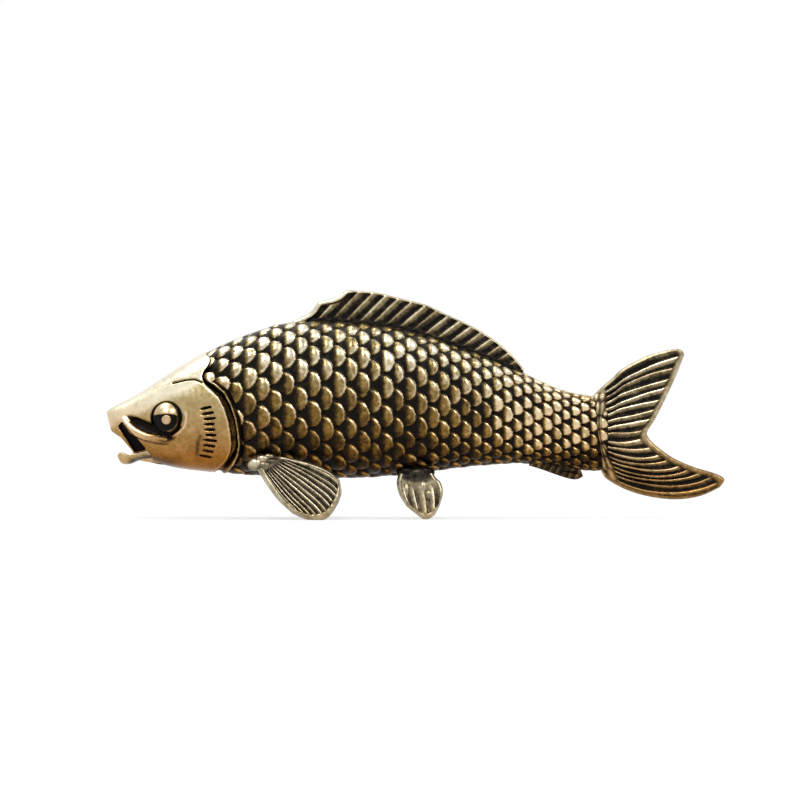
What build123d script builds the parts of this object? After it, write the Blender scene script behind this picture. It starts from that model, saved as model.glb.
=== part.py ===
from build123d import *
import os
from math import cos, pi, radians, sin, sqrt

# Antique brass carp figurine, in millimetres.
# The fish faces -X with +Z up, and its left side faces -Y. The origin is on the table, under the
# middle of the fish. It stands on the tips of its two pectoral and two pelvic fins.
# Each piece is cast on its own and soldered in: the fins by tenons and pegs, the head by a neck peg.

# Whole fish
body_length = 48.6
body_depth = 15.5
body_width = 10.3
belly_height = 3.85
waist_share = 0.5
fullness_power = 0.86
solder_gap = 0.05
overrun = 2.0

# Body stations from the snout to the tail root. Each row gives the back's place along the length and
# up the depth, the belly's place along and up, and the half width.
body_station_shares = [
    (0.000, 0.412, 0.020, 0.206, 0.146),
    (0.008, 0.441, 0.027, 0.109, 0.301),
    (0.058, 0.525, 0.062, 0.109, 0.476),
    (0.122, 0.656, 0.122, 0.081, 0.680),
    (0.186, 0.775, 0.186, 0.050, 0.845),
    (0.234, 0.850, 0.234, 0.031, 0.922),
    (0.282, 0.912, 0.282, 0.019, 0.965),
    (0.346, 0.975, 0.346, 0.006, 0.994),
    (0.425, 1.000, 0.425, 0.000, 1.000),
    (0.497, 0.988, 0.497, 0.000, 0.986),
    (0.569, 0.963, 0.569, 0.013, 0.942),
    (0.635, 0.912, 0.635, 0.034, 0.864),
    (0.699, 0.844, 0.699, 0.062, 0.767),
    (0.763, 0.766, 0.763, 0.081, 0.660),
    (0.825, 0.681, 0.825, 0.091, 0.563),
    (0.889, 0.588, 0.889, 0.078, 0.466),
    (0.929, 0.547, 0.929, 0.059, 0.408),
    (0.969, 0.525, 0.969, 0.044, 0.350),
    (1.000, 0.490, 1.000, 0.044, 0.300),
]
section_points = 16

# Scale coat of the trunk
scale_rows = 16
scale_relief = 0.42
scale_pitch_front = 1.36
scale_pitch_rear = 1.0
scale_start_share = 0.165
scale_bulge_share = 0.2
scale_shoulder_share = 0.82
scale_crown_share = 0.62
scale_crown_back_share = 0.12

# Gill edge, where the head meets the trunk, from the nape over the gill cover to the throat. Each row
# gives its place along and up, and how far the groove behind it is open.
gill_edge_shares = [
    (0.200, 0.883, 0.15), (0.200, 0.783, 0.15), (0.207, 0.760, 0.15), (0.208, 0.735, 0.15),
    (0.204, 0.707, 0.15), (0.197, 0.676, 0.15), (0.193, 0.641, 0.20), (0.197, 0.601, 0.50),
    (0.211, 0.561, 0.90), (0.227, 0.512, 1.00), (0.238, 0.449, 1.00), (0.247, 0.365, 1.00),
    (0.251, 0.287, 1.00), (0.253, 0.212, 1.00), (0.250, 0.163, 1.00), (0.242, 0.114, 1.00),
    (0.231, 0.073, 1.00), (0.214, 0.040, 1.00), (0.196, -0.010, 1.00),
]
gill_edge_steps = 2
gill_along_share = 0.166
gill_up_share = 0.293
gill_groove_width = 0.55
gill_groove_depth = 0.75
collar_width = 0.35
neck_peg_reach = 4.5
neck_peg_radius = 2.0
neck_peg_length = 4.0
gill_stroke_count = 10
gill_stroke_length = 1.65
gill_stroke_width = 0.27
gill_stroke_bow = 0.45
gill_stroke_depth = 0.3
gill_stroke_pitch = 0.52
gill_stroke_tilt = 2.6
gill_stroke_along_share = 0.2

# Mouth and lower jaw
mouth_web = 1.2
jaw_peg_radius = 0.55
jaw_peg_length = 2.4
jaw_peg_place_shares = (0.068, 0.125)
jaw_region_shares = [
    (0.022, 0.148), (0.028, 0.166), (0.040, 0.150), (0.058, 0.156), (0.082, 0.178), (0.090, 0.150),
    (0.090, 0.030), (0.022, 0.030),
]
mouth_pocket_shares = [(0.024, 0.331), (0.032, 0.359), (0.081, 0.187), (0.058, 0.166)]
lip_gap_shares = [
    (-0.020, 0.306), (0.006, 0.306), (0.030, 0.258), (0.052, 0.178), (0.056, 0.140), (-0.020, 0.140),
]

# Lip bar and the hollow between it and the eye
lip_bar_radius = 0.42
lip_bar_shares = [(0.037, 0.366), (0.054, 0.308), (0.081, 0.266), (0.102, 0.250), (0.121, 0.243)]
hollow_radius = 0.6
hollow_depth = 0.4
hollow_shares = [(0.056, 0.355), (0.080, 0.322), (0.102, 0.290), (0.126, 0.270), (0.142, 0.305)]

# Eyes
eye_along_share = 0.1205
eye_up_share = 0.384
eye_radius = 1.28
eye_ring_radius = 1.5
eye_ring_depth = 0.45
eye_seat = 0.7
eye_rise = 0.05
eye_ball_radius = 1.42
eye_crown_share = 0.7
eye_turn = 17.0
eye_tip = 5.0
iris_radius = 0.92
iris_depth = 0.24
iris_drop = 0.3
pupil_radius = 0.5
eye_peg_radius = 0.5
eye_peg_length = 1.2

# Dorsal fin
dorsal_start_share = 0.392
dorsal_end_share = 0.832
dorsal_height = 3.0
dorsal_thickness = 1.0
dorsal_tenon = 1.3
dorsal_tenon_inset_share = 0.06
dorsal_tenon_steps = 8
dorsal_band = 0.2
dorsal_ray_count = 15
dorsal_ray_lean_share = 1.5
dorsal_ray_run = 6.0
dorsal_ray_slope_share = 0.95
dorsal_height_shares = [
    (0.000, 0.10),
    (0.038, 0.27),
    (0.070, 0.56),
    (0.125, 0.66),
    (0.165, 0.80),
    (0.195, 0.97),
    (0.240, 0.99),
    (0.335, 0.98),
    (0.445, 0.92),
    (0.555, 0.93),
    (0.625, 0.86),
    (0.720, 0.80),
    (0.805, 0.72),
    (0.880, 0.58),
    (0.950, 0.36),
    (1.000, 0.10),
]

# Tail fin
tail_reach = 11.4
tail_span = 14.6
tail_up_share = 0.257
tail_thickness = 1.2
tail_tenon = 2.4
tail_tenon_height = 4.6
tail_wedge = 1.5
tail_wedge_share = 0.8
tail_focus = 3.0
tail_band = 1.2
tail_ray_count = 20
tail_first_angle = -62.0
tail_last_angle = 66.0
tail_upper_shares = [
    (-0.060, 0.253), (0.009, 0.367), (0.128, 0.460), (0.324, 0.540), (0.520, 0.583), (0.630, 0.590),
    (0.656, 0.577), (0.650, 0.545), (0.554, 0.360), (0.417, 0.140), (0.324, 0.033),
]
tail_lower_shares = [
    (0.324, 0.033), (0.417, -0.053), (0.554, -0.130), (0.724, -0.190), (0.894, -0.230), (0.975, -0.258),
    (1.000, -0.290), (0.965, -0.325), (0.792, -0.387), (0.588, -0.410), (0.366, -0.393), (0.162, -0.347),
    (-0.009, -0.273), (-0.060, -0.240),
]

# Anal fin
anal_start_share = 0.842
anal_end_share = 0.951
anal_height = 0.95
anal_thickness = 0.8
anal_tenon = 0.9
anal_tenon_inset_share = 0.1
anal_band = 0.15
anal_ray_count = 5
anal_first_angle = -40.0
anal_last_angle = -8.0
anal_height_shares = [(0.0, 0.1), (0.25, 0.42), (0.55, 0.85), (0.85, 1.0), (1.0, 0.55)]

# Pectoral fins
pectoral_length = 8.16
pectoral_height = 6.36
pectoral_thickness = 1.1
pectoral_splay = 26.0
pectoral_along_share = 0.300
pectoral_top = 6.17
pectoral_stand_off = 3.75
pectoral_knob_radius = 0.75
pectoral_knob_height = 1.5
pectoral_knob_round = 0.17
pectoral_peg_radius = 0.75
pectoral_peg_length = 3.0
pectoral_peg_place_shares = (0.20, 0.20)
pectoral_knob_place_shares = (-0.02, 0.13)
pectoral_focus_share = 0.12
pectoral_band = 2.6
pectoral_ray_count = 10
pectoral_first_angle = -66.0
pectoral_last_angle = -8.0
pectoral_outline_shares = [
    (0.000, 0.18), (0.107, 0.41), (0.262, 0.68), (0.429, 0.87), (0.595, 0.98), (0.726, 1.00),
    (0.857, 0.95), (0.952, 0.79), (1.000, 0.60), (0.982, 0.41), (0.881, 0.26), (0.655, 0.13),
    (0.393, 0.05), (0.214, 0.00),
]

# Pelvic fins
pelvic_length = 4.5
pelvic_height = 4.42
pelvic_thickness = 1.0
pelvic_splay = 20.0
pelvic_along_share = 0.5785
pelvic_top = 4.42
pelvic_stand_off = 2.2
pelvic_peg_radius = 0.7
pelvic_peg_length = 3.0
pelvic_peg_place_shares = (0.42, 0.10)
pelvic_focus_share = 0.32
pelvic_band = 1.35
pelvic_neck_width = 3.3
pelvic_neck_thickness = 1.7
pelvic_neck_drop = 0.9
pelvic_neck_rise = 1.2
pelvic_neck_place_share = 0.42
pelvic_ray_count = 6
pelvic_first_angle = -110.0
pelvic_last_angle = -35.0
pelvic_outline_shares = [
    (0.055, 0.00), (0.000, 0.22), (0.055, 0.46), (0.204, 0.70), (0.420, 0.88), (0.613, 1.00),
    (0.806, 0.91), (0.935, 0.68), (1.000, 0.42), (0.957, 0.22), (0.850, 0.11), (0.785, 0.00),
]

# Fin rays
rim = 0.32
ray_width = 0.4
web_depth = 0.24
smallest_web = 0.05
curve_steps = 3

# Places worked out from the sizes above
snout_x = -(body_length + tail_reach) / 2
tail_root_x = snout_x + body_length
half_width = body_width / 2


def along(share):
    """X at a share of the body's length."""
    return snout_x + body_length * share


def up(share):
    """Z at a share of the body's depth above the belly."""
    return belly_height + body_depth * share


def smooth(rows, t):
    """Values of the rows at place t, on a curve that passes through every row."""
    i = min(int(t), len(rows) - 2)
    f = t - i
    before = rows[max(i - 1, 0)]
    after = rows[min(i + 2, len(rows) - 1)]
    values = []
    for a, b, c, d in zip(before, rows[i], rows[i + 1], after):
        rise, drop = (c - a) / 2, (d - b) / 2
        bend = 3 * (c - b) - 2 * rise - drop
        twist = 2 * (b - c) + rise + drop
        values.append(b + f * (rise + f * (bend + f * twist)))
    return values


def station_at(share):
    """Place in the station table whose belly lies at a share of the length."""
    low, high = 0.0, len(body_station_shares) - 1.0
    for _ in range(40):
        middle = (low + high) / 2
        if smooth(body_station_shares, middle)[2] < share:
            low = middle
        else:
            high = middle
    return (low + high) / 2


def skin(t, angle, lift=0.0):
    """Point on the body at station t and an angle round it from +Y over the back, lifted off the skin."""
    back_along, back_up, belly_along, belly_up, wide = smooth(body_station_shares, t)
    swing = sin(angle)
    rise = waist_share + (1 - waist_share if swing > 0 else waist_share) * swing
    side = half_width * wide * abs(cos(angle)) ** fullness_power * (1 if cos(angle) > 0 else -1)
    tall = body_depth * (back_up - belly_up) / 2
    out_y, out_z = cos(angle) / (half_width * wide), swing / tall
    out = sqrt(out_y * out_y + out_z * out_z)
    x = along(belly_along + (back_along - belly_along) * rise)
    z = up(belly_up + (back_up - belly_up) * rise)
    return Vector(x, side + lift * out_y / out, z + lift * out_z / out)


def section(t, lift=0.0):
    """Closed cross section of the body at station t."""
    turns = [2 * pi * k / section_points - pi / 2 for k in range(section_points)]
    return make_face(Spline(*[skin(t, turn, lift) for turn in turns], periodic=True))


def body_loft(first, last, lift=0.0):
    """Smooth body between two rows of the station table."""
    return loft([section(t, lift) for t in range(first, last + 1)])


def back_z(share):
    """Height of the back at a share of the length."""
    return skin(station_at(share), pi / 2).Z


def belly_z(share):
    """Height of the belly at a share of the length."""
    return skin(station_at(share), -pi / 2).Z


def flank_y(share, z):
    """Half width of the body at a share of the length and a height."""
    t = station_at(share)
    low, high = -pi / 2, pi / 2
    for _ in range(40):
        middle = (low + high) / 2
        if skin(t, middle).Z < z:
            low = middle
        else:
            high = middle
    return skin(t, low).Y


def side_face(points):
    """Flat face in the fish's middle plane, from straight runs between points given as X and Z."""
    return Plane.XZ * make_face(Polyline(*points, close=True))


def slab(face, thickness):
    """Plate of a side face, centred on the middle plane."""
    return extrude(face, amount=thickness / 2, both=True)


def rod(start, direction, radius, length):
    """Round peg from a point along a direction."""
    return extrude(Plane(start, z_dir=direction) * Circle(radius), amount=length)


# Scale coat: shingled scales in staggered columns, each with a crown and a raised round back edge
def scale_columns():
    """Shares of the length where the columns of scales lie, closer towards the tail."""
    places = [0.0]
    reach = body_length * (1 - scale_start_share)
    while places[-1] < reach:
        taper = places[-1] / reach
        places.append(places[-1] + scale_pitch_front + (scale_pitch_rear - scale_pitch_front) * taper)
    fit = (1 - scale_start_share) / places[-1]
    return [station_at(scale_start_share + place * fit) for place in places]


def scaled_body():
    """Closed solid of the scaled body, built facet by facet from the scale lattice."""
    columns = scale_columns()
    last = len(columns) - 1
    ring = 2 * scale_rows

    def point(i, k, level):
        low = min(max(int(i), 0), last - 1)
        t = columns[low] + (columns[low + 1] - columns[low]) * (i - low)
        return skin(t, pi * k / scale_rows, scale_relief * (level - 1))

    def corner(i, k, level=0.0):
        return point(i, k % ring, level)

    def back_edge(i, k, way, level):
        return point(i + 0.5 + scale_bulge_share, k + way * (0.5 + scale_bulge_share), level)

    facets = []

    def fan(centre, outline):
        for a, b in zip(outline, outline[1:]):
            facets.append((centre, a, b))

    for i in range(last + 1):
        for k in range(i % 2, ring, 2):
            crown = point(i + scale_crown_back_share * (0 < i < last), k, scale_crown_share)
            front = []
            back = []
            if i > 0:
                front = [
                    corner(i, k - 1),
                    back_edge(i - 1, k - 1, 1, 0.0),
                    corner(i - 1, k),
                    back_edge(i - 1, k + 1, -1, 0.0),
                    corner(i, k + 1),
                ]
            if i < last:
                back = [
                    corner(i, k + 1),
                    back_edge(i, k, 1, scale_shoulder_share),
                    corner(i + 1, k, 1.0),
                    back_edge(i, k, -1, scale_shoulder_share),
                    corner(i, k - 1),
                ]
                fan(back_edge(i, k, 1, 0.0), [corner(i + 1, k), corner(i + 1, k, 1.0),
                                              back_edge(i, k, 1, scale_shoulder_share), corner(i, k + 1)])
                fan(back_edge(i, k, -1, 0.0), [corner(i, k - 1), back_edge(i, k, -1, scale_shoulder_share),
                                               corner(i + 1, k, 1.0), corner(i + 1, k)])
            fan(crown, front)
            fan(crown, back)
    for i in (0, last):
        rim_points = [point(i, k, scale_crown_share if (i + k) % 2 == 0 else 0.0) for k in range(ring)]
        middle = sum(rim_points, Vector()) / ring
        loop = rim_points + rim_points[:1]
        fan(middle, loop if i else loop[::-1])
    return Solid(Shell([Face(Wire.make_polygon(corners)) for corners in facets]))


# Gill edge: the head ends in a crown lobe at the nape and a round gill cover below it
def head_region(grow):
    """Side view of everything in front of the gill edge, grown towards the tail as the groove opens."""
    centre = Vector(along(gill_along_share), up(gill_up_share))
    edge = []
    for n in range((len(gill_edge_shares) - 1) * gill_edge_steps + 1):
        share, height_share, open_share = smooth(gill_edge_shares, n / gill_edge_steps)
        place = Vector(along(share), up(height_share))
        outward = (place - centre).normalized() * open_share + Vector(1, 0) * (1 - open_share)
        edge.append(place + outward * (grow * open_share))
    top, throat = edge[0], edge[-1]
    front, high = snout_x - overrun, top.Y + overrun
    around = [(throat.X, -overrun), (front, -overrun), (front, high), (top.X, high)]
    return slab(Plane.XZ * make_face(Polyline(*edge, *around, close=True)), body_width + overrun)


def neck_peg(spare):
    """Round peg of the trunk that enters the head, or its bore when given a spare gap."""
    start = Vector(along(gill_along_share) + neck_peg_reach + overrun, 0, up(gill_up_share))
    return rod(start, (-1, 0, 0), neck_peg_radius + spare, neck_peg_length + overrun + spare)


def make_trunk(seats):
    """Scaled trunk with its smooth collar, neck, neck peg and the seats cut for the fins."""
    outer_body = body_loft(3, 8)
    inner_body = body_loft(3, 8, -gill_groove_depth)
    collar = outer_body & (head_region(gill_groove_width + collar_width) - head_region(gill_groove_width))
    neck = (inner_body & head_region(gill_groove_width + collar_width)) - head_region(solder_gap)
    trunk = scaled_body() - [head_region(gill_groove_width + collar_width)] - seats
    return trunk + [collar, neck, neck_peg(0)]


# Head: smooth and broad, with a side hollow, a lip bar, strokes on the gill cover and the mouth cut open
def head_point(place, lift=0.0):
    """Point on the left side of the head at shares along and up, lifted outwards."""
    share, height_share = place
    return Vector(along(share), -flank_y(share, up(height_share)) - lift, up(height_share))


def jaw_region(grow):
    """Side view of the lower jaw, grown on all sides by a gap."""
    points = [(along(share), up(height_share)) for share, height_share in jaw_region_shares]
    face = make_face(Polyline(*points, close=True))
    return slab(Plane.XZ * offset(face, grow, kind=Kind.INTERSECTION), body_width)


def jaw_peg(spare):
    """Peg of the lower jaw that enters the head behind it, or its bore."""
    share, height_share = jaw_peg_place_shares
    start = Vector(along(share), 0, up(height_share))
    return rod(start, (1, 0, 0), jaw_peg_radius + spare, jaw_peg_length + spare)


def both_sides(left_pieces):
    """Pieces of the left side together with their mirror images."""
    return left_pieces + [mirror(piece, about=Plane.XZ) for piece in left_pieces]


def eye_plane():
    """Plane on the left cheek with its normal along the eye's line of sight."""
    turn, tip = radians(eye_turn), radians(eye_tip)
    sight = (-sin(turn) * cos(tip), -cos(turn) * cos(tip), sin(tip))
    return Plane(head_point((eye_along_share, eye_up_share)), x_dir=(cos(turn), -sin(turn), 0), z_dir=sight)


def make_eye():
    """Left eye: a domed eyeball with a ring sunk round its low pupil, on a short peg."""
    ball_z = eye_rise - sqrt(eye_ball_radius**2 - eye_radius**2)
    crown = ball_z + eye_ball_radius
    shoulder = eye_radius * eye_crown_share
    foot = -eye_seat - eye_peg_length
    profile = [
        Polyline((0, foot), (eye_peg_radius, foot), (eye_peg_radius, -eye_seat), (eye_radius, -eye_seat),
                 (eye_radius, eye_rise)),
        ThreePointArc((eye_radius, eye_rise), (shoulder, ball_z + sqrt(eye_ball_radius**2 - shoulder**2)),
                      (0, crown)),
        Line((0, crown), (0, foot)),
    ]
    ball = revolve(Plane.XZ * make_face(profile), Axis.Z)
    ring_floor = Pos(0, -iris_drop, ball_z + sqrt(eye_ball_radius**2 - iris_radius**2) - iris_depth)
    ring = ring_floor * extrude(Circle(iris_radius) - Circle(pupil_radius), amount=overrun)
    return eye_plane() * (ball - ring)


def eye_socket():
    """Round recess round the left eye, the seat below it and the bore for its peg."""
    plane = eye_plane()
    recess = plane * Pos(0, 0, -eye_ring_depth) * extrude(Circle(eye_ring_radius), amount=overrun)
    seat_floor = plane * Pos(0, 0, -eye_seat - solder_gap)
    seat = seat_floor * extrude(Circle(eye_radius + solder_gap), amount=overrun)
    depth = eye_seat + eye_peg_length + solder_gap
    bore = plane * Pos(0, 0, -depth) * extrude(Circle(eye_peg_radius + solder_gap), amount=depth)
    return recess + seat + bore


def lip_bar():
    """Rounded bar along the left upper lip."""
    path = Spline(*[head_point(place) for place in lip_bar_shares])
    bar = sweep(Plane(path @ 0, z_dir=path % 0) * Circle(lip_bar_radius), path=path)
    return bar + [Pos(path @ 0) * Sphere(lip_bar_radius), Pos(path @ 1) * Sphere(lip_bar_radius)]


def cheek_hollow():
    """Hollow between the left lip bar and the eye, curving up behind the eye."""
    path = Spline(*[head_point(place, hollow_radius - hollow_depth) for place in hollow_shares])
    groove = sweep(Plane(path @ 0, z_dir=path % 0) * Circle(hollow_radius), path=path)
    return groove + [Pos(path @ 0) * Sphere(hollow_radius), Pos(path @ 1) * Sphere(hollow_radius)]


def mouth_pocket():
    """Three-cornered pocket in the left side of the mouth, short of the web between the two sides."""
    points = [(along(share), up(height_share)) for share, height_share in mouth_pocket_shares]
    face = Pos(0, -mouth_web / 2, 0) * side_face(points)
    return extrude(face, amount=half_width)


def gill_strokes():
    """Row of short strokes cut into the left gill cover."""
    strokes = []
    half_count = (gill_stroke_count - 1) / 2
    for n in range(gill_stroke_count):
        off_middle = n - half_count
        bow = gill_stroke_bow * (1 - (off_middle / half_count) ** 2)
        share = gill_stroke_along_share + bow / body_length
        z = up(gill_up_share) + gill_stroke_pitch * off_middle
        oval = Plane.XZ * Ellipse(gill_stroke_length / 2, gill_stroke_width / 2)
        stroke = extrude(oval, amount=gill_stroke_depth, both=True)
        place = Pos(along(share), -flank_y(share, z), z) * Rot(0, -gill_stroke_tilt * off_middle, 0)
        strokes.append(place * stroke)
    return strokes


def make_head():
    """Head with its gill covers, eye sockets and mouth, bored for the neck and the jaw."""
    gap_points = [(along(share), up(height_share)) for share, height_share in lip_gap_shares]
    lip_cut = slab(side_face(gap_points), body_width)
    head = (body_loft(0, 7) & head_region(0)) - both_sides([cheek_hollow()]) + both_sides([lip_bar()])
    cuts = both_sides([mouth_pocket(), eye_socket()] + gill_strokes())
    return head - cuts - [lip_cut, jaw_region(solder_gap), jaw_peg(solder_gap), neck_peg(solder_gap)]


def make_lower_jaw():
    """Lower jaw cut from the same form as the head, with the peg that seats it."""
    return (body_loft(0, 4) & jaw_region(0)) + jaw_peg(0)


# Fins: flat plates with a rim and raised rays on both faces
def curve_points(rows, wide, tall):
    """Points along a smooth curve through rows of shares, as lengths."""
    steps = (len(rows) - 1) * curve_steps
    points = [smooth(rows, n / curve_steps) for n in range(steps + 1)]
    return [(wide * x_share, tall * z_share) for x_share, z_share in points]


def ray_strip(foot, tip):
    """Flat strip of one ray from its foot to its tip."""
    run = Vector(*tip) - Vector(*foot)
    side = Vector(-run.Y, run.X).normalized() * (ray_width / 2)
    a, b = Vector(*foot), Vector(*tip)
    return make_face(Polyline(a + side, b + side, b - side, a - side, close=True))


def rayed_plate(outline, rays, root_band, thickness):
    """Plate with webs sunk between the rays, inside a rim and clear of the root band."""
    face = make_face(Polyline(*outline, close=True))
    webs = offset(face, -rim, kind=Kind.INTERSECTION) - root_band - [ray_strip(*ray) for ray in rays]
    plate = extrude(face, amount=thickness / 2, both=True)
    floor = thickness / 2 - web_depth
    pockets = []
    for web in webs.faces():
        if web.area > smallest_web:
            pockets.append(Pos(0, 0, floor) * extrude(web, amount=thickness))
            pockets.append(Pos(0, 0, -floor) * extrude(web, amount=-thickness))
    return plate - pockets


def fin_slot(outline, thickness):
    """Slot in the trunk that takes a fin of this outline, wider all round by the solder gap."""
    face = offset(make_face(Polyline(*outline, close=True)), solder_gap, kind=Kind.INTERSECTION)
    return slab(Plane.XZ * face, thickness + 2 * solder_gap)


def fan_rays(focus, first_angle, last_angle, count, length):
    """Rays spread evenly from a focus."""
    rays = []
    for n in range(count):
        turn = radians(first_angle + (last_angle - first_angle) * (n + 0.5) / count)
        rays.append((focus, (focus[0] + length * cos(turn), focus[1] + length * sin(turn))))
    return rays


# Dorsal fin
def dorsal_place(n):
    """Share of the body's length at a share of the dorsal fin's foot."""
    return dorsal_start_share + (dorsal_end_share - dorsal_start_share) * n


def dorsal_line(shares, lift):
    """Points at a lift above the back, at shares of the fin's foot."""
    return [(along(dorsal_place(n)), back_z(dorsal_place(n)) + lift) for n in shares]


def dorsal_outline():
    """Side view of the dorsal fin, from its crest round to the tenon below the skin."""
    crest = []
    for n, height in curve_points(dorsal_height_shares, 1, dorsal_height):
        crest += dorsal_line([n], height)
    inset = dorsal_tenon_inset_share
    foot = [1 - inset - (1 - 2 * inset) * n / dorsal_tenon_steps for n in range(dorsal_tenon_steps + 1)]
    return crest + dorsal_line(foot, -dorsal_tenon)


def make_dorsal_fin():
    """Long fin along the back, with leaning rays and a tenon below the skin."""
    steps = [n / dorsal_tenon_steps for n in range(dorsal_tenon_steps + 1)]
    foot = dorsal_line(steps, dorsal_band) + dorsal_line(steps[::-1], -dorsal_tenon - overrun)
    band = make_face(Polyline(*foot, close=True))
    rays = []
    for n in range(dorsal_ray_count):
        place = dorsal_place((n + 0.5) / dorsal_ray_count - dorsal_ray_lean_share / dorsal_ray_count)
        foot = (along(place), back_z(place))
        rays.append((foot, (foot[0] + dorsal_ray_run, foot[1] + dorsal_ray_run * dorsal_ray_slope_share)))
    return Plane.XZ * rayed_plate(dorsal_outline(), rays, band, dorsal_thickness)


# Anal fin
def anal_points(rows):
    """Points below the belly line, from rows of a share of the fin's foot and a height."""
    points = []
    for n, height in rows:
        place = anal_start_share + (anal_end_share - anal_start_share) * n
        points.append((along(place), belly_z(place) - height))
    return points


def anal_outline():
    """Side view of the anal fin, from its lower edge round to the tenon above the skin."""
    edge = anal_points(curve_points(anal_height_shares, 1, anal_height))
    inset = anal_tenon_inset_share
    return edge + anal_points([(1 - inset, -anal_tenon), (inset, -anal_tenon)])


def make_anal_fin():
    """Low fin folded along the belly, with a tenon above the skin."""
    deep = anal_tenon + overrun
    root = anal_points([(0, anal_band), (1, anal_band), (1, -deep), (0, -deep)])
    band = make_face(Polyline(*root, close=True))
    focus = (along(anal_start_share) - anal_height, belly_z(anal_start_share))
    rays = fan_rays(focus, anal_first_angle, anal_last_angle, anal_ray_count, body_depth)
    return Plane.XZ * rayed_plate(anal_outline(), rays, band, anal_thickness)


# Tail fin
def tail_tenon_block(spare):
    """Tenon of the tail fin inside the trunk, or its slot."""
    block = Box(2 * tail_tenon + 2 * spare, tail_thickness + 2 * spare, tail_tenon_height + 2 * spare)
    return Pos(tail_root_x, 0, up(tail_up_share)) * block


def make_tail_fin():
    """Forked tail with curved lobes, a root wedge that fairs into the trunk, and a tenon."""
    centre_z = up(tail_up_share)
    lobes = curve_points(tail_upper_shares, tail_reach, tail_span)
    lobes += curve_points(tail_lower_shares, tail_reach, tail_span)[1:]
    outline = [(tail_root_x + x, centre_z + z) for x, z in lobes]
    focus = (tail_root_x - tail_focus, centre_z)
    band = Pos(*focus) * Circle(tail_focus + tail_band)
    rays = fan_rays(focus, tail_first_angle, tail_last_angle, tail_ray_count, body_length)
    plate = Plane.XZ * rayed_plate(outline, rays, band, tail_thickness)
    stations = len(body_station_shares)
    shoulder = Pos(solder_gap, 0, 0) * body_loft(stations - 4, stations - 1, solder_gap)
    root_tall = body_depth * (body_station_shares[-1][1] - body_station_shares[-1][3])
    root_wide = body_width * body_station_shares[-1][4]
    root_x = tail_root_x + solder_gap
    root_z = up((body_station_shares[-1][1] + body_station_shares[-1][3]) / 2)
    wide_end = Plane((root_x, 0, root_z), z_dir=(1, 0, 0), x_dir=(0, 1, 0))
    thin_end = Plane((root_x + tail_wedge, 0, root_z), z_dir=(1, 0, 0), x_dir=(0, 1, 0))
    wedge = loft([wide_end * Ellipse(root_wide / 2, root_tall / 2),
                  thin_end * Ellipse(tail_thickness / 2, root_tall * tail_wedge_share / 2)])
    return plate - shoulder + wedge + tail_tenon_block(0)


# Paired fins that the fish stands on
def splayed_plane(along_share, stand_off, top, splay):
    """Plane of a left fin that hangs from a height and splays outwards."""
    lean = radians(splay)
    return Plane((along(along_share), -stand_off, top), x_dir=(1, 0, 0), z_dir=(0, -cos(lean), sin(lean)))


def standing_fin(plane, outline_shares, wide, tall, splay, rays, thickness, band_radius, focus):
    """Left fin on its plane, fitted to the trunk's skin and cut flat on the table."""
    outline = curve_points(outline_shares, wide, -tall / cos(radians(splay)))
    band = Pos(*focus) * Circle(band_radius)
    fin = plane * rayed_plate(outline, rays, band, thickness)
    below = Pos(0, 0, -body_depth / 2) * Box(2 * body_length, body_length, body_depth)
    return fin - below


def pectoral_peg(spare):
    """Peg of the left pectoral fin that enters the trunk, or its bore."""
    x_share, z_share = pectoral_peg_place_shares
    plane = pectoral_plane()
    start = plane.from_local_coords(Vector(x_share * pectoral_length, -z_share * pectoral_height, 0))
    return rod(start, (0, 1, 0), pectoral_peg_radius + spare, pectoral_peg_length + spare)


def pectoral_plane():
    """Plane of the left pectoral fin."""
    return splayed_plane(pectoral_along_share, pectoral_stand_off, pectoral_top, pectoral_splay)


def make_pectoral_fin(skin_form):
    """Left pectoral fin: a broad paddle with fanned rays and a knob at its root."""
    focus = (-pectoral_length * pectoral_focus_share, 0)
    rays = fan_rays(focus, pectoral_first_angle, pectoral_last_angle, pectoral_ray_count, body_depth)
    fin = standing_fin(pectoral_plane(), pectoral_outline_shares, pectoral_length, pectoral_height,
                       pectoral_splay, rays, pectoral_thickness, pectoral_band, focus)
    x_share, z_share = pectoral_knob_place_shares
    button = Cylinder(pectoral_knob_radius, pectoral_knob_height)
    button = fillet(button.edges().filter_by(GeomType.CIRCLE), pectoral_knob_round)
    knob = pectoral_plane() * Pos(x_share * pectoral_length, -z_share * pectoral_height, 0) * button
    return fin + knob - skin_form + pectoral_peg(0)


def pelvic_plane():
    """Plane of the left pelvic fin."""
    return splayed_plane(pelvic_along_share, pelvic_stand_off, pelvic_top, pelvic_splay)


def pelvic_peg(spare):
    """Peg of the left pelvic fin that enters the trunk, or its bore."""
    x_share, z_share = pelvic_peg_place_shares
    plane = pelvic_plane()
    start = plane.from_local_coords(Vector(x_share * pelvic_length, -z_share * pelvic_height, 0))
    return rod(start, plane.y_dir, pelvic_peg_radius + spare, pelvic_peg_length + spare)


def make_pelvic_fin(skin_form):
    """Left pelvic fin: a short paddle under a thick neck."""
    focus = (pelvic_length * pelvic_focus_share, 0)
    rays = fan_rays(focus, pelvic_first_angle, pelvic_last_angle, pelvic_ray_count, body_depth)
    fin = standing_fin(pelvic_plane(), pelvic_outline_shares, pelvic_length, pelvic_height, pelvic_splay,
                       rays, pelvic_thickness, pelvic_band, focus)
    base = Pos(pelvic_neck_place_share * pelvic_length, -pelvic_neck_drop, 0) * Rot(-90, 0, 0)
    oval = base * Ellipse(pelvic_neck_width / 2, pelvic_neck_thickness / 2)
    neck = pelvic_plane() * extrude(oval, amount=pelvic_neck_drop + pelvic_neck_rise)
    return fin + neck - skin_form + pelvic_peg(0)


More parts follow.
